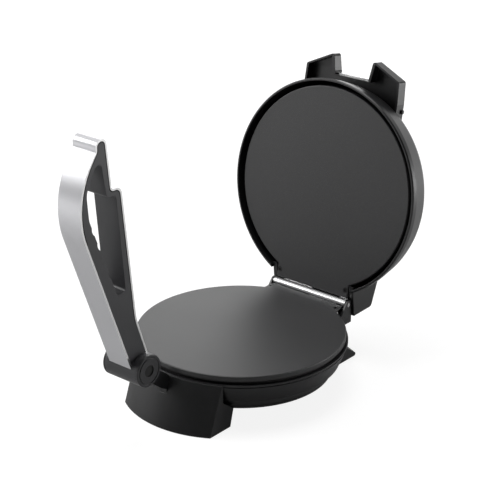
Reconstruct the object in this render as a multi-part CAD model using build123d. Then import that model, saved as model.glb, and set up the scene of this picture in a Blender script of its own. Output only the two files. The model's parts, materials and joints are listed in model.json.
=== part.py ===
from build123d import *
import math
import os

# Electric roti maker, lid open and press lever up, as it stands on a table.
# Millimetres and degrees. Origin on the table under the centre of the cooking plate,
# +X to the right seen from the lever, +Y to the hinge, +Z up.

# ---- driving dimensions: cooking plates ----
PLATE_R = 110.0
PLATE_TOP = 60.0            # height of the lower cooking surface
PLATE_GAP = 1.0             # between the two cooking surfaces when closed
PLATE_T = 5.0
PLATE_EDGE_R = 1.2
SKIRT_R = 107.0
SKIRT_WALL = 2.5
SKIRT_DEPTH = 13.0          # below the cooking surface
FLANGE_X = 48.5             # half width of the straight edge at the hinge
FLANGE_Y = 113.5
FLANGE_T = 2.0
LEAF_POCKET_Y = 98.0

# ---- heating parts, the same behind both plates ----
ELEMENT_R = 71.0
ELEMENT_TUBE_R = 3.25
ELEMENT_GAP = 16.0          # open angle of the ring at the hinge side
ELEMENT_PIN_R = 2.0
RIDGE_HALF_W = 5.5
CLAMP_ANGLES = (40.0, 140.0, 220.0, 320.0)
CLAMP_REACH = 10.0          # from the element to each clamp screw
CLAMP_W = 9.0
CLAMP_T = 1.2
PAD_R = 4.0
SMALL_SCREW_R = 1.5
SMALL_HEAD_R = 3.0
SMALL_HEAD_T = 1.8
POST_R_PLACE = 90.0         # radius of the circle of mounting posts
POST_ANGLES = (60.0, 120.0, 270.0)
POST_R = 6.0
POST_DEPTH = 16.0           # plate posts end this far behind the cooking surface
SHIELD_R = 100.0
SHIELD_T = 0.8
SHIELD_RIM = 5.0
SHIELD_EYE_R = 22.0
SPACER_R = 4.5
SPACER_L = 6.2
MOUNT_SCREW_R = 2.0
MOUNT_HEAD_R = 3.8
MOUNT_HEAD_T = 2.6
SCREW_FIT = 0.2             # radial play of a screw in a clearance hole
THERMOSTAT_R = 8.0
THERMOSTAT_H = 9.0
THERMOSTAT_PAD_H = 3.0
THERMOSTAT_EAR_X = 13.0
FUSE_R = 2.2
FUSE_L = 14.0
FUSE_Y = -36.0

# ---- hinge ----
HINGE_Y = 118.9
BARREL_R = 4.7
PIN_R = 2.45
PIN_FIT = 0.05
KNUCKLES = (-49.0, -38.0, 0.0, 37.5, 49.0)
KNUCKLE_PLAY = 0.15
LEAF_X = 48.0
LEAF_SCREW_X = 45.0
LEAF_SCREW_Y = 104.5
LEAF_SCREW_R = 1.75
LEAF_HEAD_R = 3.2
LEAF_HEAD_T = 1.6
LEAF_NUT_R = 3.3
LEAF_NUT_T = 2.4
LID_OPEN = 98.67

# ---- base housing ----
WALL = 2.5
LIP_R = 112.0
LIP_TOP = 51.5
LIP_H = 2.0
GROOVE_DEPTH = 1.0
GROOVE_H = 1.0
KINK_R = 104.5
KINK_Z = 30.0
PAN_FOOT_R = 96.0
PAN_FOOT_Z = 20.0
PAN_RIM_Z = 18.0
COVER_R = 92.8
COVER_T = 2.0
COVER_FIT = 0.3
COVER_SCREW_R_PLACE = 84.0
COVER_SCREW_ANGLES = (20.0, 160.0, 200.0, 340.0)
DECK_T = 2.5
DECK_EYE_R = 58.0
VENT_COUNT = 14
VENT_L = 22.0
VENT_W = 3.5
VENT_R_PLACE = 52.0

# ---- feet ----
FOOT_X = 58.0
FOOT_TOP_Z = 51.0
FOOT_TOP_R = 113.6
FOOT_ARC_R = 108.0
FOOT_ARC_Y = -25.0
FOOT_HEEL_Y = -85.4
FOOT_SHOULDER_Y = -80.7
FOOT_SHOULDER_Z = 19.8
FOOT_NECK_Y = -96.4
FOOT_WALL = 2.8
FOOT_ROOM_Z = 44.0          # ceiling of the hollow inside the front foot
TAIL_X = 60.0
TAIL_R = 141.0
TAIL_TIP_R = 2.0
TAIL_INNER_R = 99.0
STAND = 0.8                 # how far the rubber feet lift the housing
RUBBER_R = 6.5
RUBBER_T = 3.0
FRONT_RUBBER = (40.0, -106.0)
REAR_RUBBER = (46.0, 112.0)

# ---- hinge ears and box of the base ----
EAR_X = 52.5
EAR_INNER_X = 50.0
EAR_R = 4.5
EAR_FRONT_Y = 104.4
EAR_FRONT_Z = 49.8
BOX_TOP_Z = 50.5
BOX_BOTTOM_Z = 39.0

# ---- lid housing ----
RIM_R = 118.0
RIM_DROP = 3.0              # the rim hangs below the plane of the lower cooking surface
SHOULDER_R = 112.5
SHOULDER_H = 25.0
ROOF_H = 33.0
ROOF_FILLET = 7.0

# ---- lid bridge with horns and hinge block ----
BLOCK_X = 55.0
BLOCK_INNER_X = 49.6
BLOCK_FRONT_Y = 98.7
LID_STOP_GAP = 0.3
BLOCK_FACE_TILT = 14.5
BLOCK_TOP_H = 47.0
BLOCK_BACK_Y = 127.0
BLOCK_BACK_H = 40.3
BLOCK_FOOT_Y = 132.5
BLOCK_BACK_R = 4.5
HORN_X = 62.0
HORN_WAIST_Y = -100.0
HORN_OUTER_Y = -124.0
HORN_OUTER_X = 61.0
HORN_TIP_Y = -140.7
HORN_TIP_X = 25.7
NOTCH_X = 22.0
NOTCH_Y = -119.5
HORN_TOP_H = 42.0
HORN_OPEN_H = 29.5
HORN_CORNER_R = 3.0
PRESS_T = 1.5
PRESS_DROP = 10.0
PRESS_BACK_Y = -92.0
PRESS_PLAY = 0.4
LAMP_R = 4.0
LAMP_Y = -60.0
LAMP_X = 14.0
LAMP_BODY_H = 7.0
LAMP_FLANGE_R = 5.2
BRIDGE_SCREWS = ((40.0, -70.0), (-40.0, -70.0), (40.0, 60.0), (-40.0, 60.0))

# ---- press lever ----
PIVOT_Y = -163.5
PIVOT_Z = 82.0
LEVER_LEAN = 10.6
LEVER_FOLD = 69.2
HUB_R = 16.5
HUB_X = 20.8
CAP_X = 23.0
CAP_RING_R = 12.6
CAP_GROOVE_W = 1.3
CAP_GROOVE_D = 0.8
CAP_HOLE_R = 6.0
LEVER_X = 14.25
BAND_T = 2.0
SCALLOP_R = 8.0
SCALLOP_DEPTH = 1.1
ARM_X = 4.3
ARM_SLOT_PLAY = 0.4
ARM_DEPTH = 15.0
ARM_ANGLE = 39.3
ARM_LENGTH = 61.0
EYE_R = 12.0
AXLE_R = 4.0
AXLE_FIT = 0.05
BUSH_R = 5.6
AXLE_HEAD_R = 6.6
AXLE_HEAD_T = 2.4
AXLE_END_IN = 1.2           # the heads start this far inside the hub faces
CAP_WELL_R = 8.0
CAP_WELL_D = 1.6
BRACKET_SCREW_R = 2.0
BRACKET_SCREW_Y = -113.0
BRACKET_SCREW_Z = (30.0, 16.0)
CHEEK_T = 3.0

# ---- cord gland ----
GLAND_ANGLE = 140.0
GLAND_Z = 38.5
GLAND_R = 6.0
GLAND_BORE_R = 3.6
GLAND_FLANGE_R = 8.5
GLAND_FLANGE_T = 3.0
GLAND_L = 5.0

# ---- derived places ----
HINGE_Z = PLATE_TOP + PLATE_GAP / 2
UPPER_FACE = PLATE_TOP + PLATE_GAP
ELEMENT_DEPTH = PLATE_T + ELEMENT_TUBE_R
CLAMP_DEPTH = ELEMENT_DEPTH + ELEMENT_TUBE_R
SHIELD_DEPTH = POST_DEPTH + SHIELD_T
DECK_BOSS_Z = PLATE_TOP - SHIELD_DEPTH - SPACER_L
DECK_TOP = KINK_Z + DECK_T
COVER_TOP = PAN_RIM_Z + 0.5 + COVER_T
LEAF_T = BARREL_R - PIN_R - PIN_FIT
ROOF_Z = PLATE_TOP + ROOF_H
PRESS_TOP_Z = PLATE_TOP + HORN_TOP_H + PRESS_T


def polar(radius, angle):
    return (radius * math.cos(math.radians(angle)), radius * math.sin(math.radians(angle)))


def disc(radius, low, high, x=0.0, y=0.0):
    return Pos(x, y, (low + high) / 2) * Cylinder(radius, high - low)


def ring(outer, inner, low, high, x=0.0, y=0.0):
    return disc(outer, low, high, x, y) - disc(inner, low - 1, high + 1, x, y)


def block(x0, x1, y0, y1, z0, z1):
    place = Pos((x0 + x1) / 2, (y0 + y1) / 2, (z0 + z1) / 2)
    return place * Box(x1 - x0, y1 - y0, z1 - z0)


def turned(*points):
    """A solid of revolution about Z from (radius, height) points."""
    face = make_face(Plane.XZ * Polyline(*points, close=True))
    return revolve(face, Axis.Z, 360)


def side_profile(points, x0, x1, radii=0.0):
    """An extrusion along X of an outline given as (y, z) points."""
    outline = FilletPolyline(*points, radius=radii, close=True) if radii else Polyline(*points, close=True)
    return extrude(Plane.YZ.offset(x0) * make_face(outline), x1 - x0)


def both_sides(solid):
    return solid + mirror(solid, Plane.YZ)


def along_x(radius, x0, x1, y, z):
    return Pos((x0 + x1) / 2, y, z) * Rot(0, 90, 0) * Cylinder(radius, x1 - x0)


def one(shape):
    """The shape as one plain compound of its solids."""
    solids = shape.solids()
    return solids[0] if len(solids) == 1 else Compound(children=list(solids))


# ---- plate with its heating parts, cooking surface at z = 0, the parts below it ----
def clamp_pads():
    for angle in CLAMP_ANGLES:
        for radius in (ELEMENT_R - CLAMP_REACH, ELEMENT_R + CLAMP_REACH):
            yield polar(radius, angle)


def thermostat_ears():
    return ((THERMOSTAT_EAR_X, 0.0), (-THERMOSTAT_EAR_X, 0.0))


def fuse_tab():
    return (0.0, FUSE_Y - FUSE_R - 4.5)


def plate_body():
    outline = Circle(PLATE_R) + Pos(0, FLANGE_Y / 2 + 20) * Rectangle(2 * FLANGE_X, FLANGE_Y - 40)
    plate = extrude(outline, -PLATE_T)
    plate = fillet(plate.faces().sort_by(Axis.Z)[-1].edges(), PLATE_EDGE_R)
    plate += ring(SKIRT_R, SKIRT_R - SKIRT_WALL, -SKIRT_DEPTH, -PLATE_T)
    plate += ring(ELEMENT_R + RIDGE_HALF_W, ELEMENT_R - RIDGE_HALF_W, -ELEMENT_DEPTH, -PLATE_T)
    plate += disc(THERMOSTAT_EAR_X + 5, -PLATE_T - THERMOSTAT_PAD_H, -PLATE_T)
    for x, y in clamp_pads():
        plate += disc(PAD_R, -CLAMP_DEPTH, -PLATE_T, x, y)
    for angle in POST_ANGLES:
        plate += disc(POST_R, -POST_DEPTH, -PLATE_T, *polar(POST_R_PLACE, angle))
    plate += disc(PAD_R, -PLATE_T - 2 * FUSE_R, -PLATE_T, *fuse_tab())
    plate -= Pos(0, 0, -ELEMENT_DEPTH) * Torus(ELEMENT_R, ELEMENT_TUBE_R)
    plate -= block(-FLANGE_X - 1, FLANGE_X + 1, LEAF_POCKET_Y, FLANGE_Y + 1, -PLATE_T, -FLANGE_T)
    for x, y in clamp_pads():
        plate -= disc(SMALL_SCREW_R, -CLAMP_DEPTH - 1, -PLATE_T, x, y)
    for angle in POST_ANGLES:
        plate -= disc(MOUNT_SCREW_R, -POST_DEPTH - 1, -PLATE_T, *polar(POST_R_PLACE, angle))
    for x, y in thermostat_ears():
        plate -= disc(SMALL_SCREW_R, -PLATE_T - THERMOSTAT_PAD_H - 1, -FLANGE_T, x, y)
    plate -= disc(SMALL_SCREW_R, -PLATE_T - 2 * FUSE_R - 1, -PLATE_T, *fuse_tab())
    for x in (LEAF_SCREW_X, -LEAF_SCREW_X):
        plate -= leaf_screw_shape(x)
    return plate


def leaf_screw_shape(x):
    head = Pos(x, LEAF_SCREW_Y, -LEAF_HEAD_T / 2) * Cone(LEAF_SCREW_R, LEAF_HEAD_R, LEAF_HEAD_T)
    return head + disc(LEAF_SCREW_R, -FLANGE_T - LEAF_T - LEAF_NUT_T, -LEAF_HEAD_T, x, LEAF_SCREW_Y)


def leaf_screws():
    screws = []
    for x in (LEAF_SCREW_X, -LEAF_SCREW_X):
        drive = Pos(x, LEAF_SCREW_Y, -0.5) * Cylinder(1.5, 1.0)
        screws.append(leaf_screw_shape(x) - drive)
    return Compound(children=[one(s) for s in screws])


def leaf_nuts():
    low = -FLANGE_T - LEAF_T - LEAF_NUT_T
    nuts = []
    for x in (LEAF_SCREW_X, -LEAF_SCREW_X):
        hexagon = RegularPolygon(LEAF_NUT_R, 6) - Circle(LEAF_SCREW_R)
        nuts.append(Pos(x, LEAF_SCREW_Y, low) * extrude(hexagon, LEAF_NUT_T))
    return Compound(children=[one(n) for n in nuts])


def hinge_leaf(spans):
    """A sheet under the flange, rolled round the pin at the given spans along X."""
    axis_z = PLATE_GAP / 2
    top = -FLANGE_T
    leaf = block(-LEAF_X, LEAF_X, LEAF_POCKET_Y + 0.5, FLANGE_Y, top - LEAF_T, top)
    for x0, x1 in spans:
        start, end = x0 + KNUCKLE_PLAY, x1 - KNUCKLE_PLAY
        leaf += block(max(start, -LEAF_X), min(end, LEAF_X), FLANGE_Y - 1, HINGE_Y, axis_z - BARREL_R,
                      axis_z - BARREL_R + LEAF_T)
        leaf += along_x(BARREL_R, start, end, HINGE_Y, axis_z)
    leaf -= along_x(PIN_R + PIN_FIT, KNUCKLES[0] - 1, KNUCKLES[-1] + 1, HINGE_Y, axis_z)
    for x in (LEAF_SCREW_X, -LEAF_SCREW_X):
        leaf -= disc(LEAF_SCREW_R, top - LEAF_T - 1, top + 1, x, LEAF_SCREW_Y)
    return leaf


def element():
    start = 90 + ELEMENT_GAP / 2
    arc = CenterArc((0, 0, -ELEMENT_DEPTH), ELEMENT_R, start, 360 - ELEMENT_GAP)
    begin = Plane(origin=arc @ 0, z_dir=arc % 0)
    tube = sweep(begin * Circle(ELEMENT_TUBE_R), path=arc)
    for point in (arc @ 0, arc @ 1):
        tube += disc(ELEMENT_PIN_R, -SHIELD_DEPTH - 5, -ELEMENT_DEPTH, point.X, point.Y)
    return tube


def element_clamps():
    clamps = []
    for angle in CLAMP_ANGLES:
        bar = SlotOverall(2 * CLAMP_REACH + CLAMP_W, CLAMP_W)
        for side in (-CLAMP_REACH, CLAMP_REACH):
            bar -= Pos(side, 0) * Circle(SMALL_SCREW_R + SCREW_FIT)
        bar = Rot(0, 0, angle) * (Pos(ELEMENT_R, 0) * bar)
        clamps.append(one(Pos(0, 0, -CLAMP_DEPTH - CLAMP_T) * extrude(bar, CLAMP_T)))
    return Compound(children=clamps)


def small_screw(x, y, seat, length):
    """A pan head under the seat and a shank up into the plate."""
    return disc(SMALL_HEAD_R, seat - SMALL_HEAD_T, seat, x, y) + disc(SMALL_SCREW_R, seat, seat + length, x, y)


def small_screws():
    screws = [small_screw(x, y, -CLAMP_DEPTH - CLAMP_T, 6.0) for x, y in clamp_pads()]
    seat = -PLATE_T - THERMOSTAT_PAD_H - 1.0
    screws += [small_screw(x, y, seat, 4.5) for x, y in thermostat_ears()]
    x, y = fuse_tab()
    screws.append(small_screw(x, y, -PLATE_T - 2 * FUSE_R - 0.8, 4.0))
    return Compound(children=[one(s) for s in screws])


def heat_shield():
    shield = disc(SHIELD_R, -SHIELD_DEPTH, -POST_DEPTH)
    shield += ring(SHIELD_R, SHIELD_R - SHIELD_T, -POST_DEPTH, -POST_DEPTH + SHIELD_RIM)
    shield -= disc(SHIELD_EYE_R, -SHIELD_DEPTH - 1, -POST_DEPTH + 1)
    for angle in POST_ANGLES:
        x, y = polar(POST_R_PLACE, angle)
        shield -= disc(MOUNT_SCREW_R + SCREW_FIT, -SHIELD_DEPTH - 1, -POST_DEPTH + 1, x, y)
    shield -= block(-16, 16, ELEMENT_R - 6, ELEMENT_R + 5, -SHIELD_DEPTH - 1, -POST_DEPTH + 1)
    return shield


def spacers():
    parts = []
    for angle in POST_ANGLES:
        x, y = polar(POST_R_PLACE, angle)
        low = -SHIELD_DEPTH - SPACER_L
        parts.append(one(ring(SPACER_R, MOUNT_SCREW_R + SCREW_FIT, low, -SHIELD_DEPTH, x, y)))
    return Compound(children=parts)


def mount_screws(seat):
    """The long screws: heads seated at the given depth, shanks up into the plate posts."""
    screws = []
    for angle in POST_ANGLES:
        x, y = polar(POST_R_PLACE, angle)
        screw = disc(MOUNT_HEAD_R, seat - MOUNT_HEAD_T, seat, x, y)
        screw += disc(MOUNT_SCREW_R, seat, -PLATE_T - 1.5, x, y)
        screws.append(one(screw - disc(1.6, seat - MOUNT_HEAD_T - 1, seat - MOUNT_HEAD_T + 1.2, x, y)))
    return Compound(children=screws)


def thermostat():
    seat = -PLATE_T - THERMOSTAT_PAD_H
    body = disc(THERMOSTAT_R, seat - THERMOSTAT_H, seat)
    flange = SlotOverall(2 * THERMOSTAT_EAR_X + 8, 8)
    for x, y in thermostat_ears():
        flange -= Pos(x, y) * Circle(SMALL_SCREW_R + SCREW_FIT)
    body += Pos(0, 0, seat - 1.0) * extrude(flange, 1.0)
    for x in (-4.0, 4.0):
        body += block(x - 0.4, x + 0.4, -3.1, 3.1, seat - THERMOSTAT_H - 6, seat - THERMOSTAT_H)
    return body


def thermal_fuse():
    return along_x(FUSE_R, -FUSE_L / 2, FUSE_L / 2, FUSE_Y, -PLATE_T - FUSE_R)


def fuse_clip():
    sheet = 0.8
    seat = -PLATE_T - 2 * FUSE_R
    tab_y = fuse_tab()[1]
    clip = block(-3.5, 3.5, tab_y - 3.5, FUSE_Y + FUSE_R + sheet, seat - sheet, seat)
    clip += block(-3.5, 3.5, FUSE_Y + FUSE_R, FUSE_Y + FUSE_R + sheet, seat - sheet, -PLATE_T)
    return clip - disc(SMALL_SCREW_R + SCREW_FIT, seat - 2, seat + 1, *fuse_tab())


def plate_group(spans, screw_seat):
    return {
        "plate": plate_body(),
        "hinge_leaf": hinge_leaf(spans),
        "hinge_screws": leaf_screws(),
        "hinge_nuts": leaf_nuts(),
        "element": element(),
        "element_clamps": element_clamps(),
        "small_screws": small_screws(),
        "heat_shield": heat_shield(),
        "spacers": spacers(),
        "mount_screws": mount_screws(screw_seat),
        "thermostat": thermostat(),
        "thermal_fuse": thermal_fuse(),
        "fuse_clip": fuse_clip(),
    }


# ---- base ----
def pan_outer():
    return [
        (LIP_R, LIP_TOP),
        (LIP_R, LIP_TOP - LIP_H),
        (LIP_R - GROOVE_DEPTH, LIP_TOP - LIP_H),
        (LIP_R - GROOVE_DEPTH, LIP_TOP - LIP_H - GROOVE_H),
        (LIP_R, LIP_TOP - LIP_H - GROOVE_H),
        (KINK_R, KINK_Z),
        (PAN_FOOT_R, PAN_FOOT_Z),
        (PAN_FOOT_R, PAN_RIM_Z),
    ]


def pan():
    inner = [
        (COVER_R + COVER_FIT, PAN_RIM_Z),
        (COVER_R + COVER_FIT, COVER_TOP),
        (PAN_FOOT_R - 2 * WALL, COVER_TOP),
        (PAN_FOOT_R - 2 * WALL, PAN_FOOT_Z + WALL),
        (KINK_R - WALL, KINK_Z),
        (DECK_EYE_R, KINK_Z),
        (DECK_EYE_R, DECK_TOP),
        (KINK_R - WALL + 1.0, DECK_TOP),
        (LIP_R - GROOVE_DEPTH - WALL, LIP_TOP - LIP_H - GROOVE_H),
        (LIP_R - GROOVE_DEPTH - WALL, LIP_TOP),
    ]
    return turned(*pan_outer(), *inner)


def pan_cutter():
    """Everything within the pan's outer face, to trim what joins it from outside."""
    return turned(*pan_outer(), (0, PAN_RIM_Z), (0, LIP_TOP))


def arc_slice(centre_y, radius, half_x, back_y, z):
    """A flat region between a front arc and a straight back edge, at height z."""
    front = centre_y - math.sqrt(radius ** 2 - half_x ** 2)
    arc = ThreePointArc((-half_x, front), (0, centre_y - radius), (half_x, front))
    edges = arc + Polyline((half_x, front), (half_x, back_y), (-half_x, back_y), (-half_x, front))
    return Pos(0, 0, z) * make_face(edges)


def foot_solid(inset, ceiling=FOOT_TOP_Z):
    """The front foot's envelope up to a ceiling, drawn in by inset on its outer and end faces."""
    top = arc_slice(0, FOOT_TOP_R - inset, FOOT_X - inset, -60, FOOT_TOP_Z)
    bottom = arc_slice(FOOT_ARC_Y, FOOT_ARC_R - inset, FOOT_X - inset, -60, STAND)
    envelope = loft([bottom, top], ruled=True)
    heel = [
        (-200, STAND),
        (FOOT_HEEL_Y - inset, STAND),
        (FOOT_SHOULDER_Y - inset, FOOT_SHOULDER_Z - inset),
        (FOOT_NECK_Y - inset, KINK_Z + 1.7 - inset),
        (FOOT_NECK_Y - inset, ceiling),
        (-200, ceiling),
    ]
    return envelope & side_profile(heel, -FOOT_X, FOOT_X)


def front_foot():
    foot = foot_solid(0) - foot_solid(FOOT_WALL, FOOT_ROOM_Z)
    for x in (-30.0, 30.0):
        foot += foot_solid(FOOT_WALL / 2) & block(x - 1, x + 1, -150, -60, STAND + 6, FOOT_TOP_Z)
    foot += both_sides(block(ARM_X, ARM_X + CHEEK_T, -135, -90, STAND + 4, FOOT_TOP_Z) & foot_solid(1.0))
    for x in (FRONT_RUBBER[0], -FRONT_RUBBER[0]):
        foot += disc(RUBBER_R + 2, STAND, KINK_Z, x, FRONT_RUBBER[1]) & foot_solid(1.0)
    return foot - pan_cutter()


def tail_profile(inset):
    slope = math.atan2(KINK_Z - STAND, TAIL_R - KINK_R)
    lift = inset / math.cos(slope)
    run = inset / math.sin(slope)
    return [(TAIL_INNER_R + inset, STAND - (1 if inset else 0)), (TAIL_R - run, STAND - (1 if inset else 0)),
            (KINK_R, KINK_Z - lift), (TAIL_INNER_R + inset, KINK_Z - lift)]


def rear_foot():
    outer = turned(*tail_profile(0))
    tip = outer.edges().filter_by(GeomType.CIRCLE).sort_by(lambda e: e.radius)[-1]
    outer = fillet(tip, TAIL_TIP_R)
    hollow = turned(*tail_profile(WALL))
    foot = (outer - hollow) & block(-TAIL_X, TAIL_X, 60, 160, -5, 60)
    ends = outer & block(TAIL_X - WALL, TAIL_X, 60, 160, -5, 60)
    foot += both_sides(ends)
    for x in (REAR_RUBBER[0], -REAR_RUBBER[0]):
        foot += disc(RUBBER_R + 2, STAND, KINK_Z, x, REAR_RUBBER[1]) & outer
    return foot - pan_cutter()


def ear_profile():
    """Round over the pin, sloping down to the lip in front, upright behind."""
    over = CenterArc((HINGE_Y, HINGE_Z), EAR_R, 0, 135)
    front = over @ 1
    rest = Polyline((front.X, front.Y), (EAR_FRONT_Y, EAR_FRONT_Z), (EAR_FRONT_Y, BOX_BOTTOM_Z),
                    (HINGE_Y + EAR_R, BOX_BOTTOM_Z), (HINGE_Y + EAR_R, HINGE_Z))
    return make_face(over + rest)


def hinge_box():
    back = HINGE_Y + EAR_R
    box = block(-EAR_X, EAR_X, 90, back, BOX_BOTTOM_Z, BOX_TOP_Z)
    box -= block(-EAR_X + WALL, EAR_X - WALL, 80, back - WALL, BOX_BOTTOM_Z + WALL, BOX_TOP_Z - WALL)
    ears = both_sides(extrude(Plane.YZ.offset(EAR_INNER_X) * ear_profile(), EAR_X - EAR_INNER_X))
    return (box + ears) - pan_cutter()


def base_housing():
    body = pan() + front_foot() + rear_foot() + hinge_box()
    for angle in POST_ANGLES:
        body += disc(POST_R, DECK_TOP - 0.5, DECK_BOSS_Z, *polar(POST_R_PLACE, angle))
    for angle in COVER_SCREW_ANGLES:
        body += disc(PAD_R, COVER_TOP, KINK_Z + 0.5, *polar(COVER_SCREW_R_PLACE, angle))
    for angle in POST_ANGLES:
        body -= disc(MOUNT_SCREW_R + SCREW_FIT, 0, DECK_BOSS_Z + 1, *polar(POST_R_PLACE, angle))
    for angle in COVER_SCREW_ANGLES:
        body -= disc(SMALL_SCREW_R, COVER_TOP - 1, KINK_Z - 1, *polar(COVER_SCREW_R_PLACE, angle))
    for x, y in rubber_places():
        body -= disc(RUBBER_R, -1, RUBBER_T, x, y)
    body -= along_x(PIN_R, -EAR_X - 1, EAR_X + 1, HINGE_Y, HINGE_Z)
    body -= side_profile(arm_outline(ARM_SLOT_PLAY / 2), -ARM_X, ARM_X)
    for z in BRACKET_SCREW_Z:
        reach = ARM_X + CHEEK_T
        body -= along_x(BRACKET_SCREW_R + SCREW_FIT, -reach - 1, reach + 1, BRACKET_SCREW_Y, z)
    body -= gland_place() * disc(GLAND_R, -GLAND_L, GLAND_FLANGE_T)
    return body


def rubber_places():
    places = []
    for x, y in (FRONT_RUBBER, REAR_RUBBER):
        places += [(x, y), (-x, y)]
    return places


def rubber_feet():
    return Compound(children=[one(disc(RUBBER_R, 0, RUBBER_T, x, y)) for x, y in rubber_places()])


def base_cover():
    cover = disc(COVER_R, COVER_TOP - COVER_T, COVER_TOP)
    slot = Pos(VENT_R_PLACE, 0) * SlotOverall(VENT_L, VENT_W)
    for index in range(VENT_COUNT):
        turn = Rot(0, 0, 360 * index / VENT_COUNT)
        cover -= Pos(0, 0, COVER_TOP - COVER_T - 1) * extrude(turn * slot, COVER_T + 2)
    for angle in COVER_SCREW_ANGLES:
        x, y = polar(COVER_SCREW_R_PLACE, angle)
        cover -= disc(SMALL_SCREW_R + SCREW_FIT, 0, COVER_TOP + 1, x, y)
    return cover


def base_cover_screws():
    seat = COVER_TOP - COVER_T
    places = [polar(COVER_SCREW_R_PLACE, angle) for angle in COVER_SCREW_ANGLES]
    return Compound(children=[one(small_screw(x, y, seat, 8.0)) for x, y in places])


def hinge_pin():
    return along_x(PIN_R, -EAR_X + 0.3, EAR_X - 0.3, HINGE_Y, HINGE_Z)


def terminal_block():
    place = Pos(-72, 36, DECK_TOP) * Rot(0, 0, 60)
    body = Pos(0, 0, 4.5) * Box(26, 14, 9)
    for x in (-8.0, 0.0, 8.0):
        body -= Pos(x, 0, 9) * Cylinder(2.2, 6)
    return place * body


def gland_place():
    """On the outer face of the pan's wall, square to it."""
    slope = (LIP_R - KINK_R) / (LIP_TOP - LIP_H - GROOVE_H - KINK_Z)
    x, y = polar(KINK_R + (GLAND_Z - KINK_Z) * slope, GLAND_ANGLE)
    return Pos(x, y, GLAND_Z) * Rot(0, 0, GLAND_ANGLE) * Rot(0, 90 + math.degrees(math.atan(slope)), 0)


def cord_gland():
    body = disc(GLAND_R, -GLAND_L, 0) + disc(GLAND_FLANGE_R, 0, GLAND_FLANGE_T)
    return gland_place() * (body - Cylinder(GLAND_BORE_R, 40))


# ---- lever bracket ----
def arm_frame(along, across):
    """From the pivot along the arm, and square to it on the upper side, to (y, z)."""
    turn = math.radians(ARM_ANGLE)
    return (PIVOT_Y + along * math.cos(turn) + across * math.sin(turn),
            PIVOT_Z - along * math.sin(turn) + across * math.cos(turn))


def arm_outline(play):
    half = ARM_DEPTH / 2 + play
    upper = arm_frame(0, half)
    upper_end = arm_frame(ARM_LENGTH - 9, half)
    lower_end = arm_frame(ARM_LENGTH - 8, -half)
    lower = arm_frame(0, -half)
    return [upper, upper_end, (-107.5 + play, 38), (-107.5 + play, 10 - play), (-120 - play, 10 - play),
            (-120 - play, lower_end[1] - 4), lower_end, lower]


def lever_bracket():
    arm = side_profile(arm_outline(0), -ARM_X, ARM_X) + along_x(EYE_R, -ARM_X, ARM_X, PIVOT_Y, PIVOT_Z)
    arm -= along_x(AXLE_R, -ARM_X - 1, ARM_X + 1, PIVOT_Y, PIVOT_Z)
    for z in BRACKET_SCREW_Z:
        arm -= along_x(BRACKET_SCREW_R + SCREW_FIT, -ARM_X - 1, ARM_X + 1, BRACKET_SCREW_Y, z)
    return arm - pan_cutter()


def bracket_screws():
    reach = ARM_X + CHEEK_T
    screws = []
    for z in BRACKET_SCREW_Z:
        screw = along_x(BRACKET_SCREW_R, -reach - 3, reach, BRACKET_SCREW_Y, z)
        screw += along_x(2 * BRACKET_SCREW_R, reach, reach + 2.4, BRACKET_SCREW_Y, z)
        screw += along_x(2 * BRACKET_SCREW_R, -reach - 2.4, -reach, BRACKET_SCREW_Y, z)
        screws.append(one(screw))
    return Compound(children=screws)


def lever_axle():
    end = HUB_X - AXLE_END_IN
    axle = along_x(AXLE_R, -end, end, PIVOT_Y, PIVOT_Z)
    return axle + along_x(AXLE_HEAD_R, end, end + AXLE_HEAD_T, PIVOT_Y, PIVOT_Z)


def axle_nut():
    end = HUB_X - AXLE_END_IN
    hexagon = RegularPolygon(AXLE_HEAD_R, 6)
    nut = Pos(-end - AXLE_HEAD_T, PIVOT_Y, PIVOT_Z) * Rot(0, 90, 0) * extrude(hexagon, AXLE_HEAD_T)
    return nut


# ---- lid, drawn closed ----
def lid_outer():
    base = PLATE_TOP
    return [
        (RIM_R - 1.0, base - RIM_DROP),
        (RIM_R, base - RIM_DROP + 1.0),
        (RIM_R - 0.3, base + 4),
        (SHOULDER_R, base + SHOULDER_H),
        (SHOULDER_R - 1.4, base + SHOULDER_H + 3.6),
        (SHOULDER_R - ROOF_FILLET * 0.75, base + ROOF_H - 1.2),
        (SHOULDER_R - ROOF_FILLET * 1.6, base + ROOF_H),
    ]


def rear_gap():
    """The part of the lid shell that the hinge block takes the place of."""
    return block(-BLOCK_X, BLOCK_X, BLOCK_FRONT_Y, 140, 0, ROOF_Z + 1)


def lid_envelope():
    return turned(*lid_outer(), (0, ROOF_Z), (0, PLATE_TOP - RIM_DROP)) - rear_gap()


def lid_housing():
    roof = ROOF_Z - WALL
    inner = [
        (0, ROOF_Z),
        (0, roof),
        (SHOULDER_R - ROOF_FILLET * 1.6, roof),
        (SHOULDER_R - WALL - 1.4, PLATE_TOP + SHOULDER_H + 1.5),
        (SHOULDER_R - WALL, PLATE_TOP + SHOULDER_H - 1),
        (RIM_R - WALL - 0.5, PLATE_TOP + 4),
        (RIM_R - WALL, PLATE_TOP - RIM_DROP),
    ]
    shell = turned(*lid_outer(), *inner) - rear_gap()
    boss_low = UPPER_FACE + SHIELD_DEPTH + SPACER_L
    for angle in POST_ANGLES:
        x, y = polar(POST_R_PLACE, angle)
        shell += disc(POST_R, boss_low, roof + 0.5, x, y)
        shell -= disc(MOUNT_SCREW_R + SCREW_FIT, boss_low - 1, ROOF_Z + 1, x, y)
    for x, y in BRIDGE_SCREWS:
        shell -= disc(SMALL_SCREW_R + SCREW_FIT, roof - 1, ROOF_Z + 1, x, y)
    shell -= disc(5, roof - 1, ROOF_Z + 1, 0, 30)
    return shell


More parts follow.
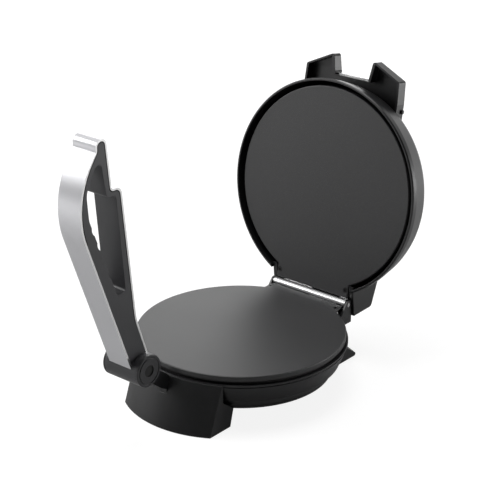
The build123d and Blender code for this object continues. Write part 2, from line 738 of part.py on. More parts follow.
def block_face(y):
    """Height of the hinge block's lower face at y, on a line past the hinge axis."""
    tilt = math.radians(BLOCK_FACE_TILT)
    return HINGE_Z + (EAR_R + LID_STOP_GAP) / math.cos(tilt) + (y - HINGE_Y) * math.tan(tilt)


def bridge_plan(inset):
    """Half outline from above, from the notch round the horn to the hinge block."""
    block_x = BLOCK_INNER_X if inset else BLOCK_X
    tip = 0.45 * inset
    right = [
        (NOTCH_X + inset, NOTCH_Y + inset),
        (HORN_TIP_X + inset, HORN_TIP_Y + inset + tip),
        (HORN_OUTER_X - inset, HORN_OUTER_Y + tip),
        (HORN_X - inset, HORN_WAIST_Y),
        (BLOCK_X + 0.5 - inset, BLOCK_FRONT_Y - 2),
        (block_x, BLOCK_FRONT_Y),
        (block_x, BLOCK_FOOT_Y + 2 - inset),
    ]
    left = [(-x, y) for x, y in reversed(right)]
    return right + left


def bridge_side(inset):
    top = PLATE_TOP - inset
    low = -20 if inset else 0
    return [
        (HORN_TIP_Y - 5, PLATE_TOP + HORN_OPEN_H + low),
        (HORN_WAIST_Y + 8, PLATE_TOP + HORN_OPEN_H + low),
        (BLOCK_FRONT_Y - 3, PLATE_TOP + HORN_OPEN_H + low),
        (BLOCK_FRONT_Y, block_face(BLOCK_FRONT_Y) + low),
        (BLOCK_FOOT_Y - inset, block_face(BLOCK_FOOT_Y) + low),
        (BLOCK_BACK_Y - inset, top + BLOCK_BACK_H),
        (BLOCK_FRONT_Y, top + BLOCK_TOP_H),
        (HORN_OUTER_Y, top + HORN_TOP_H),
        (HORN_TIP_Y - 5, top + HORN_TOP_H - 1.6),
    ]


def bridge_solid(inset):
    plan = extrude(Polygon(*bridge_plan(inset), align=None), 160)
    return plan & side_profile(bridge_side(inset), -80, 80)


def lid_bridge():
    outer = bridge_solid(0)
    upright = [e for e in outer.edges().filter_by(Axis.Z) if e.center().Y < HORN_WAIST_Y - 5]
    outer = fillet(upright, HORN_CORNER_R)
    back = outer.edges().filter_by(Axis.X).sort_by(lambda e: abs(e.center().Y - BLOCK_BACK_Y)
                                                   + abs(e.center().Z - PLATE_TOP - BLOCK_BACK_H))[0]
    outer = fillet(back, BLOCK_BACK_R)
    bridge = outer - lid_envelope() - bridge_solid(WALL)
    for x, y in BRIDGE_SCREWS:
        boss = disc(PAD_R, ROOF_Z, ROOF_Z + 20, x, y) & bridge_solid(0)
        bridge += boss - disc(SMALL_SCREW_R, ROOF_Z - 1, ROOF_Z + 7, x, y)
    for x in (LAMP_X, -LAMP_X):
        bridge -= disc(LAMP_R, ROOF_Z, ROOF_Z + 30, x, LAMP_Y)
    bridge -= block(-NOTCH_X, NOTCH_X, NOTCH_Y - 1, PRESS_BACK_Y, PRESS_TOP_Z - PRESS_T, PRESS_TOP_Z + 10)
    bridge -= block(-NOTCH_X, NOTCH_X, NOTCH_Y - 1, NOTCH_Y + PRESS_T, 0, PRESS_TOP_Z + 10)
    return bridge


def press_plate():
    half = NOTCH_X - PRESS_PLAY
    plate = block(-half, half, NOTCH_Y, PRESS_BACK_Y - PRESS_PLAY, PRESS_TOP_Z - PRESS_T, PRESS_TOP_Z)
    plate += block(-half, half, NOTCH_Y, NOTCH_Y + PRESS_T, PRESS_TOP_Z - PRESS_DROP, PRESS_TOP_Z)
    corner = plate.edges().filter_by(Axis.X).sort_by(lambda e: -e.center().Z + 0.5 * e.center().Y)[0]
    return fillet(corner, PRESS_T * 0.9)


def bridge_screws():
    seat = ROOF_Z - WALL
    return Compound(children=[one(small_screw(x, y, seat, 8.0)) for x, y in BRIDGE_SCREWS])


def lamp(x):
    top = PLATE_TOP + HORN_TOP_H + (LAMP_Y - HORN_OUTER_Y) * (BLOCK_TOP_H - HORN_TOP_H) / (BLOCK_FRONT_Y - HORN_OUTER_Y)
    body = disc(LAMP_R - 0.1, top - WALL - 1, top + 0.6, x, LAMP_Y)
    body += disc(LAMP_FLANGE_R, top - WALL - 3.2, top - WALL - 0.2, x, LAMP_Y)
    body = fillet(body.faces().sort_by(Axis.Z)[-1].edges(), 0.5)
    return body


# ---- lever, in its own plane: first across (inwards), then along from the pivot ----
def lever_plane():
    lean = math.radians(LEVER_LEAN)
    return Plane(origin=(0, PIVOT_Y, PIVOT_Z), x_dir=(0, math.cos(lean), math.sin(lean)), z_dir=(1, 0, 0))


def lever_outline():
    points = [(0, -4), (8.4, 10), (1.6, 56), (11.8, 191.6), (0.1, 193.6), (4.1, 244.8), (-5.7, 244.3),
              (-6.4, 237.0), (-45.4, 200.0), (-12.4, 7.0)]
    radii = [1, 3, 40, 6, 4.5, 4.4, 4.4, 8, 80, 3]
    return make_face(FilletPolyline(*points, radius=radii, close=True))


def finger_hole():
    points = [(-4.7, 226), (-13, 224), (-28, 205), (-30.6, 179), (-14.2, 91), (-3.2, 91), (5.8, 187.5),
              (-5.4, 190)]
    radii = [4, 8, 20, 20, 3, 3, 3.5, 4]
    hole = make_face(FilletPolyline(*points, radius=radii, close=True))
    for along in (168.0, 151.0, 134.0, 117.0):
        across = -30.6 + (179 - along) * 16.4 / 88
        hole += Pos(across + SCALLOP_R - SCALLOP_DEPTH, along) * Circle(SCALLOP_R)
    return hole


def lever_slab(face, half):
    return extrude(lever_plane() * face, half, both=True)


def slot_face():
    """The room that the bracket arm needs in the hub while the lever folds."""
    reach = 60.0
    half = ARM_DEPTH / 2 + ARM_SLOT_PLAY
    low = math.radians(-ARM_ANGLE - LEVER_LEAN)
    high = math.radians(-ARM_ANGLE - LEVER_LEAN + LEVER_FOLD)

    def at(angle, along, across):
        return (along * math.cos(angle) - across * math.sin(angle), along * math.sin(angle) + across * math.cos(angle))

    mid = (low + high) / 2
    points = [at(low, 0, -half), at(low, reach, -half), at(mid, 1.3 * reach, 0), at(high, reach, half), at(high, 0, half)]
    return Polygon(*points, align=None) + Circle(EYE_R + ARM_SLOT_PLAY)


def lever_core():
    core = lever_slab(lever_outline(), LEVER_X)
    hub = lever_slab(Circle(HUB_R), HUB_X)
    hub = fillet(hub.edges().filter_by(GeomType.CIRCLE), 0.8)
    core += hub
    core -= lever_slab(slot_face(), ARM_X + ARM_SLOT_PLAY)
    core -= lever_slab(finger_hole(), LEVER_X + 1)
    core -= along_x(BUSH_R, -HUB_X - 1, HUB_X + 1, PIVOT_Y, PIVOT_Z)
    for side in (-1, 1):
        core -= along_x(CAP_WELL_R, side * HUB_X - CAP_WELL_D, side * HUB_X + CAP_WELL_D, PIVOT_Y, PIVOT_Z)
    return core


def lever_band():
    core = lever_outline()
    band = offset(core, BAND_T, kind=Kind.ARC) - core
    band -= Circle(HUB_R)
    band -= Pos(0, -40 + 8) * Rectangle(80, 80)
    return lever_slab(band, LEVER_X)


def hub_cap(side):
    plane = Plane(origin=(side * HUB_X, PIVOT_Y, PIVOT_Z), z_dir=(side, 0, 0))
    height = CAP_X - HUB_X
    cap = plane * extrude(Circle(HUB_R), height)
    cap = chamfer(cap.edges().filter_by(GeomType.CIRCLE).sort_by(Axis.X)[-1 if side > 0 else 0], 0.6)
    groove = Circle(CAP_RING_R + CAP_GROOVE_W) - Circle(CAP_RING_R)
    cap -= plane.offset(height - CAP_GROOVE_D) * extrude(groove, 3)
    cap -= plane.offset(-1) * extrude(Circle(CAP_HOLE_R), height + 2)
    cap -= plane.offset(-1) * extrude(Circle(CAP_WELL_R), AXLE_HEAD_T + 0.2)
    return cap


def lever_bushes():
    bushes = []
    for side in (-1, 1):
        inner = side * (ARM_X + ARM_SLOT_PLAY)
        outer = side * (HUB_X - CAP_WELL_D)
        x0, x1 = min(inner, outer), max(inner, outer)
        bush = along_x(BUSH_R, x0, x1, PIVOT_Y, PIVOT_Z)
        bushes.append(one(bush - along_x(AXLE_R + AXLE_FIT, x0 - 1, x1 + 1, PIVOT_Y, PIVOT_Z)))
    return Compound(children=bushes)


# ---- assembly ----
def lower_parts():
    spans = ((KNUCKLES[0], KNUCKLES[1]), (KNUCKLES[2], KNUCKLES[3]))
    group = plate_group(spans, KINK_Z - PLATE_TOP)
    return {"lower_" + name: Pos(0, 0, PLATE_TOP) * shape for name, shape in group.items()}


def base_parts():
    return {
        "base_housing": base_housing(),
        "base_cover": base_cover(),
        "base_cover_screws": base_cover_screws(),
        "rubber_feet": rubber_feet(),
        "hinge_pin": hinge_pin(),
        "terminal_block": terminal_block(),
        "cord_gland": cord_gland(),
        "lever_bracket": lever_bracket(),
        "bracket_screws": bracket_screws(),
        "lever_axle": lever_axle(),
        "axle_nut": axle_nut(),
    }


def upper_parts():
    spans = ((KNUCKLES[1], KNUCKLES[2]), (KNUCKLES[3], KNUCKLES[4]))
    group = plate_group(spans, UPPER_FACE - ROOF_Z)
    raised = {"upper_" + name: Pos(0, 0, UPPER_FACE) * mirror(shape, Plane.XY) for name, shape in group.items()}
    raised.update({
        "lid_housing": lid_housing(),
        "lid_bridge": lid_bridge(),
        "bridge_screws": bridge_screws(),
        "press_plate": press_plate(),
        "power_lamp": lamp(LAMP_X),
        "ready_lamp": lamp(-LAMP_X),
    })
    return {name: opened(shape) for name, shape in raised.items()}


def opened(shape):
    """A lid part turned about the hinge from closed to fully open."""
    return Pos(0, HINGE_Y, HINGE_Z) * Rot(-LID_OPEN, 0, 0) * Pos(0, -HINGE_Y, -HINGE_Z) * shape


def lever_parts():
    return {
        "lever_core": lever_core(),
        "lever_band": lever_band(),
        "hub_cap_right": hub_cap(1),
        "hub_cap_left": hub_cap(-1),
        "lever_bushes": lever_bushes(),
    }


def main():
    os.makedirs("parts", exist_ok=True)
    nodes = {**base_parts(), **lower_parts(), **upper_parts(), **lever_parts()}
    for name, shape in nodes.items():
        export_step(one(shape), f"parts/{name}.step")


main()
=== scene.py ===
# Electric roti maker with its lid open and its press lever up, in a plain studio.
# Metres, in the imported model's own frame: +X to the right seen from the lever,
# +Y to the hinge, +Z up, origin on the table under the centre of the cooking plate.
import json
import math

import bmesh
import bpy
from mathutils import Matrix, Vector


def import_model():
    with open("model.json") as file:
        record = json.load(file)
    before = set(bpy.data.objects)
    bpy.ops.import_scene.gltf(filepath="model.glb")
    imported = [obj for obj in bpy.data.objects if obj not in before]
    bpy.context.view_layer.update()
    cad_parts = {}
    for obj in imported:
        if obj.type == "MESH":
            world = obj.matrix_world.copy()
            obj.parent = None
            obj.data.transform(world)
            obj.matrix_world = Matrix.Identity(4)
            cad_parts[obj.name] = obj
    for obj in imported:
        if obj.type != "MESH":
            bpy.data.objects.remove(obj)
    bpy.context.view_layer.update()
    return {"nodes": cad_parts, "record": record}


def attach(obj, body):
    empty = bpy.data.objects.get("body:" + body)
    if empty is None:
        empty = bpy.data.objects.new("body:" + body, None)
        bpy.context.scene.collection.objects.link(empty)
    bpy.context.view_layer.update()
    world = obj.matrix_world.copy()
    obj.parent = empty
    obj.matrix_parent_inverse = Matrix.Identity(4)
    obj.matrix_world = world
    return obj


MM = 0.001
WHITE = (1, 1, 1, 1)

# ---- camera, from the photograph's viewing angle ----
CAMERA_AZIMUTH = 39.945
CAMERA_ELEVATION = 22.456
CAMERA_ROLL = 0.177
CAMERA_DISTANCE = 1566.78 * MM
CAMERA_ASIDE = -1.379 * MM
CAMERA_RAISED = 92.142 * MM
CAMERA_LENS = 112.5
SENSOR = 36.0
PLATE_TOP = 60 * MM

# ---- the world's light: a dark front, and a bright side behind and to the left ----
BRIGHT_SIDE = (-0.85, 0.5, 0.1)
DARK_UP_TO = -0.25          # along BRIGHT_SIDE
BRIGHT_FROM = 0.8
DARKEST = 0.05
WORLD_ON_MATT = 0.5         # the share of it that matt surfaces get

# ---- lamps: name, place, target, size, power ----
LAMPS = (
    ("softbox_left", (-1.25, -0.75, 0.85), (0, -0.05, 0.14), (0.7, 0.8), 17),
    ("softbox_back", (-1.0, 1.25, 0.8), (0, -0.05, 0.06), (1.0, 0.7), 5),
    ("top", (-0.2, 0.1, 1.9), (0, 0, 0.1), (1.2, 1.0), 17),
    ("low_right", (1.15, 1.1, 0.22), (0.05, 0, 0.08), (0.8, 0.38), 9),
)

# ---- table; each glow grows from near to far over the distances in its reach ----
TABLE_HALF = 6.0
TABLE_SEEN = 0.22           # the table's own colour, as the camera sees it
TABLE_PAPER = 0.5           # its colour in the light that it throws back
TABLE_GLOW = (0.87, 1.0)    # what lifts it to white for the camera, near and far
GLOW_REACH = (0.45, 1.6)
SHEEN_GLOW = (0.05, 0.85)   # how white it stands in reflections, near and far
SHEEN_REACH = (0.35, 1.5)

# ---- edges that shading rounds off ----
EDGE_ROUNDING = 0.5 * MM
PLATE_EDGE_ROUNDING = 0.6 * MM
BEVEL_SAMPLES = 6

# ---- places on the CAD parts that the added pieces sit on ----
PIVOT = Vector((0, -163.5 * MM, 82 * MM))
LEVER_LEAN = math.radians(10.6)
LEVER_HALF = 14.25 * MM
SEAM_WIDTH = 1.1            # mm
SEAM_PROUD = 0.06 * MM
SEAM_SUNK = -0.1 * MM
SEAM_START = 20.0           # mm along the lever
CORNER_STEPS = 10
# The lever's outline: across (inwards), along from the pivot, corner radius, in mm.
LEVER_OUTLINE = (
    (8.4, 10.0, 3.0),
    (1.6, 56.0, 40.0),
    (11.8, 191.6, 6.0),
    (0.1, 193.6, 4.5),
    (4.1, 244.8, 4.4),
    (-5.7, 244.3, 4.4),
    (-6.4, 237.0, 8.0),
    (-45.4, 200.0, 80.0),
    (-12.4, 7.0, 3.0),
)
STUD_FACE = 61.0 * MM
STUD_Y = 189.5 * MM
STUD_Z = 263.1 * MM
STUD_TURNS = 24
# The stud's profile: out from the bridge's side, radius, in mm.
STUD_PROFILE = ((0, 2.4), (2.3, 2.4), (2.8, 2.1), (3.1, 1.5), (3.2, 0.6))


# ---- node helpers ----
class Shader:
    """A material's node tree with short ways to add nodes."""

    def __init__(self, name):
        self.material = bpy.data.materials.new(name)
        self.material.use_nodes = True
        self.tree = self.material.node_tree
        self.bsdf = self.tree.nodes["Principled BSDF"]
        self.output = self.tree.nodes["Material Output"]
        self.place = self.node("ShaderNodeTexCoord").outputs["Object"]

    def node(self, kind, **settings):
        made = self.tree.nodes.new(kind)
        for key, value in settings.items():
            setattr(made, key, value)
        return made

    def link(self, source, target):
        self.tree.links.new(source, target)

    def set(self, socket, value):
        self.bsdf.inputs[socket].default_value = value

    def feed(self, source, socket):
        self.link(source, self.bsdf.inputs[socket])

    def noise(self, scale, detail=3.0, rough=0.5, vector=None):
        made = self.node("ShaderNodeTexNoise")
        made.inputs["Scale"].default_value = scale
        made.inputs["Detail"].default_value = detail
        made.inputs["Roughness"].default_value = rough
        self.link(vector or self.place, made.inputs["Vector"])
        return made.outputs["Fac"]

    def brushed(self, fineness):
        """Streaks, as fine along X, Y and Z as the three numbers say."""
        mapping = self.node("ShaderNodeMapping")
        mapping.inputs["Scale"].default_value = fineness
        self.link(self.place, mapping.inputs["Vector"])
        return self.noise(scale=1.0, rough=0.6, vector=mapping.outputs["Vector"])

    def ramp(self, value, low, high, start=0.0, end=1.0):
        """value mapped from start..end to low..high."""
        made = self.node("ShaderNodeMapRange")
        made.inputs["From Min"].default_value = start
        made.inputs["From Max"].default_value = end
        made.inputs["To Min"].default_value = low
        made.inputs["To Max"].default_value = high
        self.link(value, made.inputs["Value"])
        return made.outputs["Result"]

    def mix(self, factor, first, second):
        """From one colour to another; each is a tuple or a socket."""
        made = self.node("ShaderNodeMix", data_type="RGBA")
        self.link(factor, made.inputs[0])
        for socket, value in ((made.inputs[6], first), (made.inputs[7], second)):
            if isinstance(value, tuple):
                socket.default_value = (*value, 1)
            else:
                self.link(value, socket)
        return made.outputs[2]

    def bump(self, height, strength, distance):
        made = self.node("ShaderNodeBump")
        made.inputs["Strength"].default_value = strength
        made.inputs["Distance"].default_value = distance
        self.link(height, made.inputs["Height"])
        self.feed(made.outputs["Normal"], "Normal")
        return made

    def rounded(self, radius, bump):
        """Softens the sharp edges that light catches."""
        made = self.node("ShaderNodeBevel", samples=BEVEL_SAMPLES)
        made.inputs["Radius"].default_value = radius
        self.link(made.outputs["Normal"], bump.inputs["Normal"])


def math_node(tree, operation, first, second):
    """An operation on two values; each is a float or a socket."""
    made = tree.nodes.new("ShaderNodeMath")
    made.operation = operation
    for socket, value in zip(made.inputs, (first, second)):
        if isinstance(value, float):
            socket.default_value = value
        else:
            tree.links.new(value, socket)
    return made.outputs[0]


def grey(level, tint=0.0):
    """A grey with its blue raised by the tint's share."""
    return (level, level, level * (1 + tint))


# ---- materials ----
def black_plastic(name, level, rough, shine=0.5):
    """Satin black moulding: fine spark-eroded grain and faint flow marks."""
    shader = Shader(name)
    shader.set("Specular IOR Level", shine)
    cloud = shader.noise(scale=18.0, detail=4.0)
    grain = shader.noise(scale=2600.0, detail=2.0, rough=0.6)
    colour = shader.mix(cloud, grey(level * 0.85, 0.06), grey(level * 1.2, 0.1))
    shader.feed(colour, "Base Color")
    shader.feed(shader.ramp(grain, low=rough - 0.05, high=rough + 0.07), "Roughness")
    bump = shader.bump(grain, strength=0.12, distance=0.06 * MM)
    shader.rounded(EDGE_ROUNDING, bump)
    return shader.material


def plate_coating(name):
    """Dark non-stick coating: cloudy, slightly rippled, with fine light flecks."""
    shader = Shader(name)
    cloud = shader.noise(scale=9.0, detail=5.0)
    speckle = shader.noise(scale=3200.0, detail=1.0, rough=0.4)
    ripple = shader.noise(scale=420.0, detail=2.0)
    colour = shader.mix(cloud, grey(0.022, 0.03), grey(0.030, 0.04))
    flecks = shader.ramp(speckle, low=0.0, high=1.0, start=0.62, end=0.72)
    shader.feed(shader.mix(flecks, colour, grey(0.085, 0.02)), "Base Color")
    shader.feed(shader.ramp(cloud, low=0.44, high=0.52), "Roughness")
    bump = shader.bump(ripple, strength=0.1, distance=0.08 * MM)
    shader.rounded(PLATE_EDGE_ROUNDING, bump)
    return shader.material


def side_polish_and_highlight(shader):
    """1 where a surface faces along X, as the band's side edges do, else 0; there the band is
    smoother and its colour is raised to near-white as a painted highlight.
    """
    parts = shader.node("ShaderNodeSeparateXYZ")
    normal = shader.node("ShaderNodeNewGeometry").outputs["Normal"]
    shader.link(normal, parts.inputs["Vector"])
    facing = shader.node("ShaderNodeMath", operation="ABSOLUTE")
    shader.link(parts.outputs["X"], facing.inputs[0])
    return shader.ramp(facing.outputs[0], low=0.0, high=1.0, start=0.6, end=0.85)


def silver_band(name):
    """Satin silver skin, finely brushed along the lever, with smoother side edges whose colour is
    raised to near-white: a painted highlight.
    """
    shader = Shader(name)
    brushed = shader.brushed((1800, 60, 60))
    cloud = shader.noise(scale=14.0)
    polish_and_highlight = side_polish_and_highlight(shader)
    satin = shader.mix(cloud, grey(0.54, 0.03), grey(0.6, 0.03))
    # painted highlight: the side faces' colour goes to near-white because they face the light
    shader.feed(shader.mix(polish_and_highlight, satin, grey(0.92)), "Base Color")
    polish = shader.node("ShaderNodeMix", data_type="FLOAT")
    shader.link(polish_and_highlight, polish.inputs[0])
    shader.link(shader.ramp(brushed, low=0.27, high=0.36), polish.inputs[2])
    polish.inputs[3].default_value = 0.12
    shader.feed(polish.outputs[0], "Roughness")
    shader.set("Metallic", 0.9)
    shader.bump(brushed, strength=0.05, distance=0.03 * MM)
    return shader.material


def metal(name, level, rough, fineness=(1400, 90, 1400)):
    """Bare metal with a fine brushed grain."""
    shader = Shader(name)
    brushed = shader.brushed(fineness)
    cloud = shader.noise(scale=60.0, detail=2.0)
    shader.feed(shader.mix(cloud, grey(level * 0.92), grey(level, 0.01)), "Base Color")
    shader.feed(shader.ramp(brushed, low=rough * 0.8, high=rough * 1.25), "Roughness")
    shader.set("Metallic", 1.0)
    shader.bump(brushed, strength=0.08, distance=0.03 * MM)
    return shader.material


def plain(name, colour, rough, metallic=0.0):
    """A small part's finish: its colour with fine mottling."""
    shader = Shader(name)
    grain = shader.noise(scale=900.0)
    darker = tuple(0.8 * part for part in colour)
    shader.feed(shader.mix(grain, darker, colour), "Base Color")
    shader.feed(shader.ramp(grain, low=rough - 0.06, high=rough + 0.06), "Roughness")
    shader.set("Metallic", metallic)
    shader.bump(grain, strength=0.1, distance=0.04 * MM)
    return shader.material


def lens(name, colour):
    """Coloured lamp lens with a pattern of moulded prisms."""
    shader = Shader(name)
    cells = shader.node("ShaderNodeTexVoronoi")
    cells.inputs["Scale"].default_value = 1100.0
    shader.link(shader.place, cells.inputs["Vector"])
    darker = tuple(0.45 * part for part in colour)
    prisms = cells.outputs["Distance"]
    shader.feed(shader.mix(prisms, colour, darker), "Base Color")
    shader.feed(shader.ramp(prisms, low=0.08, high=0.16), "Roughness")
    return shader.material


def finishes():
    """One material for each material slot of the record."""
    return {
        "plate_coating": plate_coating("plate_coating"),
        "black_plastic": black_plastic("black_plastic", level=0.010, rough=0.34),
        "silver_band": silver_band("silver_band"),
        "polished_steel": metal("polished_steel", level=0.78, rough=0.2),
        "rubber": plain("rubber", grey(0.02), rough=0.75),
        "red_lens": lens("red_lens", (0.6, 0.02, 0.015)),
        "green_lens": lens("green_lens", (0.02, 0.42, 0.06)),
        "pale_insulator": plain("pale_insulator", (0.7, 0.66, 0.57), rough=0.6),
        "black_steel": plain("black_steel", grey(0.03), rough=0.35, metallic=0.6),
        "fuse_case": metal("fuse_case", level=0.6, rough=0.3),
        "bush_nylon": plain("bush_nylon", (0.72, 0.69, 0.6), rough=0.45),
        "shield_sheet": metal("shield_sheet", level=0.6, rough=0.35, fineness=(300, 900, 300)),
        "zinc_steel": metal("zinc_steel", level=0.62, rough=0.3),
    }


def dress(frame):
    """Gives every CAD node its own finish or its slot's; returns those of the slots."""
    made = finishes()
    core = black_plastic("lever_plastic", level=0.04, rough=0.42)
    cap = black_plastic("cap_plastic", level=0.03, rough=0.35)
    own = {
        "lever_core": core,
        "hub_cap_left": cap,
        "hub_cap_right": cap,
        "lever_axle": made["black_steel"],
        "axle_nut": made["black_steel"],
    }
    for row in frame["record"]["subparts"]:
        node = row["node"]
        finish = own.get(node, made[row["material_slot"]])
        mesh = frame["nodes"][node].data
        if not mesh.materials:
            mesh.materials.append(finish)
        for index in range(len(mesh.materials)):
            mesh.materials[index] = finish
    return made


# ---- added pieces ----
def rounded_outline(corners):
    """Points along a closed outline with its corners rounded, in mm."""
    points = []
    for index, (across, along, radius) in enumerate(corners):
        here = Vector((across, along))
        before = (Vector(corners[index - 1][:2]) - here).normalized()
        after = (Vector(corners[(index + 1) % len(corners)][:2]) - here).normalized()
        half = before.angle(after) / 2
        middle = here + (before + after).normalized() * (radius / math.sin(half))
        start = here + before * (radius / math.tan(half)) - middle
        end = here + after * (radius / math.tan(half)) - middle
        for step in range(CORNER_STEPS + 1):
            share = step / CORNER_STEPS
            spoke = start * (1 - share) + end * share
            points.append(middle + spoke.normalized() * radius)
    return points


def seam_path():
    """The outline from the hub up, round the lever's end and back, with its inward directions."""
    points = rounded_outline(LEVER_OUTLINE)
    path = []
    for index, point in enumerate(points):
        along = (points[(index + 1) % len(points)] - points[index - 1]).normalized()
        if point.y > SEAM_START:
            path.append((point, Vector((-along.y, along.x))))
    return path


def on_lever(side, point, height):
    """A point of the lever's own plane, at a height over its side face, in the row frame."""
    across, along = point * MM
    y = across * math.cos(LEVER_LEAN) - along * math.sin(LEVER_LEAN)
    z = across * math.sin(LEVER_LEAN) + along * math.cos(LEVER_LEAN)
    return PIVOT + Vector((side * (LEVER_HALF + height), y, z))


def swept(name, rings, finish):
    """A closed mesh through rings of as many points each."""
    mesh = bpy.data.meshes.new(name)
    build = bmesh.new()
    rows = [[build.verts.new(point) for point in ring] for ring in rings]
    for row, other in zip(rows, rows[1:]):
        for index in range(len(row)):
            build.faces.new((row[index - 1], row[index], other[index], other[index - 1]))
    build.faces.new(rows[0])
    build.faces.new(rows[-1])
    bmesh.ops.recalc_face_normals(build, faces=build.faces)
    build.to_mesh(mesh)
    build.free()
    mesh.materials.append(finish)
    made = bpy.data.objects.new(name, mesh)
    bpy.context.collection.objects.link(made)
    return made


def core_seam_shadow(name, side, finish):
    """A thin near-black strip laid where the groove between the lever's core and its band is in
    shade: painted shadow.
    """
    rings = []
    for point, inwards in seam_path():
        far = point + inwards * SEAM_WIDTH
        outer = [on_lever(side, point, SEAM_SUNK), on_lever(side, point, SEAM_PROUD)]
        inner = [on_lever(side, far, SEAM_PROUD), on_lever(side, far, SEAM_SUNK)]
        rings.append(outer + inner)
    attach(swept(name, rings, finish), "lever")


def stud_ring(side, out, radius):
    ring = []
    for step in range(STUD_TURNS):
        turn = 2 * math.pi * step / STUD_TURNS
        y = STUD_Y + radius * math.cos(turn)
        z = STUD_Z + radius * math.sin(turn)
        ring.append(Vector((side * (STUD_FACE + out), y, z)))
    return ring


def bridge_stud(name, side, finish):
    """The small round stud on the bridge's side, with a domed end."""
    rings = [stud_ring(side, out * MM, radius * MM) for out, radius in STUD_PROFILE]
    stud = swept(name, rings, finish)
    for face in stud.data.polygons[:-2]:
        face.use_smooth = True
    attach(stud, "lid")


def added_pieces(finish):
    # painted shadow: a near-black, barely shiny strip along each side face of the lever core, for
    # the shade in the groove at the band
    seam_shadow = black_plastic("seam_shadow_black", level=0.003, rough=0.5, shine=0.15)
    for side, word in ((1, "right"), (-1, "left")):
        core_seam_shadow("core_seam_shadow_" + word, side, seam_shadow)
        bridge_stud("bridge_stud_" + word, side, finish)


# ---- studio ----
def camera():
    azimuth = math.radians(CAMERA_AZIMUTH)
    elevation = math.radians(CAMERA_ELEVATION)
    roll = math.radians(CAMERA_ROLL)
    level = math.cos(elevation)
    back = Vector((math.sin(azimuth) * level, -math.cos(azimuth) * level, math.sin(elevation)))
    right = Vector((math.cos(azimuth), math.sin(azimuth), 0))
    up = back.cross(right)
    place = back * CAMERA_DISTANCE + right * CAMERA_ASIDE + up * CAMERA_RAISED
    place += Vector((0, 0, PLATE_TOP))
    across = right * math.cos(roll) + up * math.sin(roll)
    upright = up * math.cos(roll) - right * math.sin(roll)
    turn = Matrix((across, upright, back)).transposed().to_4x4()
    data = bpy.data.cameras.new("camera")
    data.lens = CAMERA_LENS
    data.sensor_width = SENSOR
    made = bpy.data.objects.new("camera", data)
    bpy.context.collection.objects.link(made)
    made.matrix_world = Matrix.Translation(place) @ turn
    bpy.context.scene.camera = made


def area_lamp(name, place, target, size, power):
    data = bpy.data.lights.new(name, "AREA")
    data.shape = "RECTANGLE"
    data.size, data.size_y = size
    data.energy = power
    made = bpy.data.objects.new(name, data)
    bpy.context.collection.objects.link(made)
    made.location = place
    made.rotation_euler = (Vector(target) - Vector(place)).to_track_quat("-Z", "Y").to_euler()
    made.visible_camera = False


def lamps():
    for lamp in LAMPS:
        area_lamp(*lamp)


def bright_side(tree, direction):
    """How bright the studio is in a direction, from its dark front to its bright side."""
    dot = tree.nodes.new("ShaderNodeVectorMath")
    dot.operation = "DOT_PRODUCT"
    dot.inputs[1].default_value = BRIGHT_SIDE
    tree.links.new(direction, dot.inputs[0])
    made = tree.nodes.new("ShaderNodeMapRange")
    made.interpolation_type = "SMOOTHSTEP"
    made.inputs["From Min"].default_value = DARK_UP_TO
    made.inputs["From Max"].default_value = BRIGHT_FROM
    made.inputs["To Min"].default_value = DARKEST
    made.inputs["To Max"].default_value = 1.0
    tree.links.new(dot.outputs["Value"], made.inputs["Value"])
    return made.outputs["Result"]


def glossy_share(tree, path, least):
    """1 for glossy and transmission rays, which show the white background too, else least."""
    glossy = path.outputs["Is Glossy Ray"]
    either = math_node(tree, "MAXIMUM", glossy, path.outputs["Is Transmission Ray"])
    return math_node(tree, "MAXIMUM", either, least)


def world():
    """White behind everything; a dark front and a bright side light the object."""
    made = bpy.data.worlds.new("studio")
    made.use_nodes = True
    bpy.context.scene.world = made
    tree = made.node_tree
    background = tree.nodes["Background"]
    background.inputs["Color"].default_value = WHITE
    path = tree.nodes.new("ShaderNodeLightPath")
    direction = tree.nodes.new("ShaderNodeTexCoord").outputs["Generated"]
    side = bright_side(tree, direction)
    others = math_node(tree, "MULTIPLY", side, glossy_share(tree, path, WORLD_ON_MATT))
    strength = math_node(tree, "MAXIMUM", others, path.outputs["Is Camera Ray"])
    tree.links.new(strength, background.inputs["Strength"])


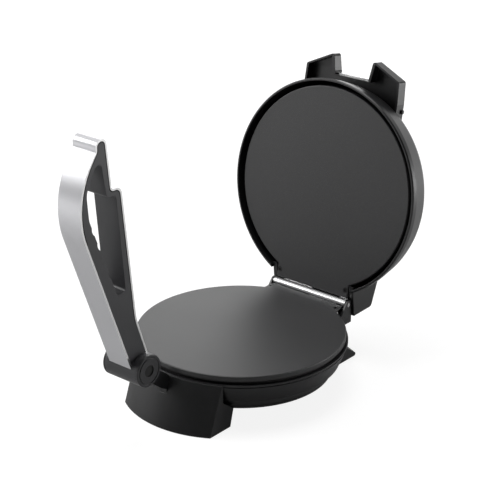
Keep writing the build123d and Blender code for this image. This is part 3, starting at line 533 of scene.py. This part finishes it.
def table_for_camera(shader, away):
    """Nearly white, keeping a soft shadow of the object."""
    shader.set("Base Color", (*grey(TABLE_SEEN), 1))
    shader.set("Roughness", 0.9)
    shader.set("Specular IOR Level", 0.0)
    shader.set("Emission Color", WHITE)
    shader.feed(shader.ramp(away, *TABLE_GLOW, *GLOW_REACH), "Emission Strength")
    return shader.bsdf.outputs[0]


def table_for_object(shader, path, away):
    """Plain paper, which stands whiter in reflections away from the object."""
    paper = shader.node("ShaderNodeBsdfDiffuse")
    paper.inputs["Color"].default_value = (*grey(TABLE_PAPER), 1)
    glow = shader.node("ShaderNodeEmission")
    white = shader.ramp(away, *SHEEN_GLOW, *SHEEN_REACH)
    share = math_node(shader.tree, "MULTIPLY", glossy_share(shader.tree, path, 0.0), white)
    shader.link(share, glow.inputs["Strength"])
    both = shader.node("ShaderNodeAddShader")
    shader.link(paper.outputs[0], both.inputs[0])
    shader.link(glow.outputs[0], both.inputs[1])
    return both.outputs[0]


def table_top():
    """What the camera sees of the table, and what lights and reflects in the object."""
    shader = Shader("table_top")
    path = shader.node("ShaderNodeLightPath")
    distance = shader.node("ShaderNodeVectorMath", operation="LENGTH")
    shader.link(shader.place, distance.inputs[0])
    away = distance.outputs["Value"]
    seen = shader.node("ShaderNodeMixShader")
    shader.link(path.outputs["Is Camera Ray"], seen.inputs[0])
    shader.link(table_for_object(shader, path, away), seen.inputs[1])
    shader.link(table_for_camera(shader, away), seen.inputs[2])
    shader.link(seen.outputs[0], shader.output.inputs["Surface"])
    return shader.material


def floor():
    """A plain white table top that fades into the backdrop and keeps the object's shadow."""
    half = TABLE_HALF
    mesh = bpy.data.meshes.new("floor")
    corners = [(-half, -half, 0), (half, -half, 0), (half, half, 0), (-half, half, 0)]
    mesh.from_pydata(corners, [], [(0, 1, 2, 3)])
    made = bpy.data.objects.new("floor", mesh)
    bpy.context.collection.objects.link(made)
    mesh.materials.append(table_top())


def main():
    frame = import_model()
    bpy.context.scene.view_settings.view_transform = "Standard"
    camera()
    added_pieces(dress(frame)["black_plastic"])
    lamps()
    world()
    floor()


main()
